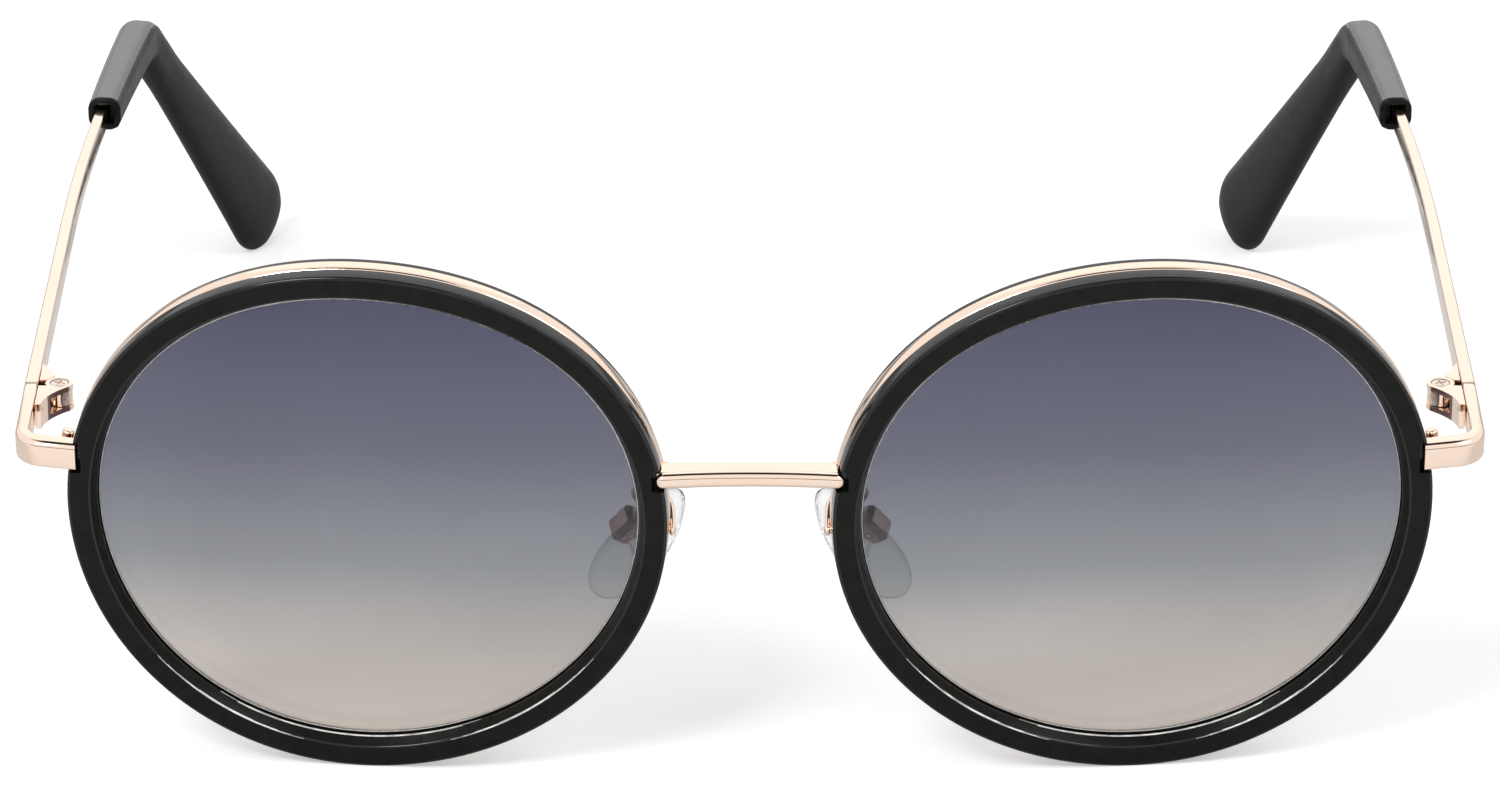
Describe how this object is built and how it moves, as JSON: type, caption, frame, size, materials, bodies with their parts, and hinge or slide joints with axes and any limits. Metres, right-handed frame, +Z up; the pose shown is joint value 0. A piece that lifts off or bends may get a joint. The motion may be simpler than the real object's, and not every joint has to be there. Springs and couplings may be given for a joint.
{
  "type": "sunglasses",
  "caption": "Round sunglasses: black plastic rims on metal eyewires, gradient lenses, a bar bridge, adjustable nose pads and hinged temples with plastic tips.",
  "frame": {"origin": "centre of the footprint, on the level that the rims and the temple tips stand on", "axes": "+X to the wearer's left, +Y to the back of the head, +Z up"},
  "size_m": [0.146, 0.138, 0.056],
  "materials": {
    "rim_plastic": "satin black acetate, edges polished",
    "rose_gold": "polished pale rose gold plate",
    "screw_metal": "turned and plated",
    "lens_tint": "polished, grey tint fading to clear at the bottom",
    "tip_plastic": "satin charcoal",
    "pad_silicone": "clear, soft gloss",
    "pad_insert": "clear, moulded"
  },
  "bodies": {
    "front": {"bridge": "rose_gold", "endpiece_left": "rose_gold", "endpiece_right": "rose_gold", "eyewire_left": "rose_gold", "eyewire_right": "rose_gold", "front_rim_left": "rim_plastic", "front_rim_right": "rim_plastic", "hinge_ears_left": "rose_gold", "hinge_ears_right": "rose_gold", "hinge_screw_left": "screw_metal", "hinge_screw_right": "screw_metal", "lens_left": "lens_tint", "lens_right": "lens_tint", "pad_arm_left": "rose_gold", "pad_arm_right": "rose_gold", "pad_box_left": "rose_gold", "pad_box_right": "rose_gold", "pad_screw_left": "screw_metal", "pad_screw_right": "screw_metal", "rim_lock_lower_left": "rose_gold", "rim_lock_lower_right": "rose_gold", "rim_lock_screw_left": "screw_metal", "rim_lock_screw_right": "screw_metal", "rim_lock_upper_left": "rose_gold", "rim_lock_upper_right": "rose_gold"},
    "temple_left": {"hinge_tongue_left": "rose_gold", "temple_tip_left": "tip_plastic", "temple_wire_left": "rose_gold"},
    "temple_right": {"hinge_tongue_right": "rose_gold", "temple_tip_right": "tip_plastic", "temple_wire_right": "rose_gold"},
    "pad_left": {"nose_pad_left": "pad_silicone", "pad_core_left": "pad_insert"},
    "pad_right": {"nose_pad_right": "pad_silicone", "pad_core_right": "pad_insert"}
  },
  "joints": [
    {"name": "temple_fold_left", "type": "hinge", "parent": "front", "child": "temple_left", "pos_m": [0.06951, -0.05001, 0.03489], "axis": [0, 0.0081, 1], "range_deg": [0, 87]},
    {"name": "temple_fold_right", "type": "hinge", "parent": "front", "child": "temple_right", "pos_m": [-0.06951, -0.05001, 0.03489], "axis": [0, -0.0081, -1], "range_deg": [0, 82]},
    {"name": "pad_rock_left", "type": "hinge", "parent": "front", "child": "pad_left", "pos_m": [0.01219, -0.05858, 0.02487], "axis": [-0.2322, -0.8992, -0.3709], "range_deg": [-8, 8]},
    {"name": "pad_rock_right", "type": "hinge", "parent": "front", "child": "pad_right", "pos_m": [-0.01219, -0.05858, 0.02487], "axis": [0.2322, -0.8992, -0.3709], "range_deg": [-8, 8]}
  ]
}
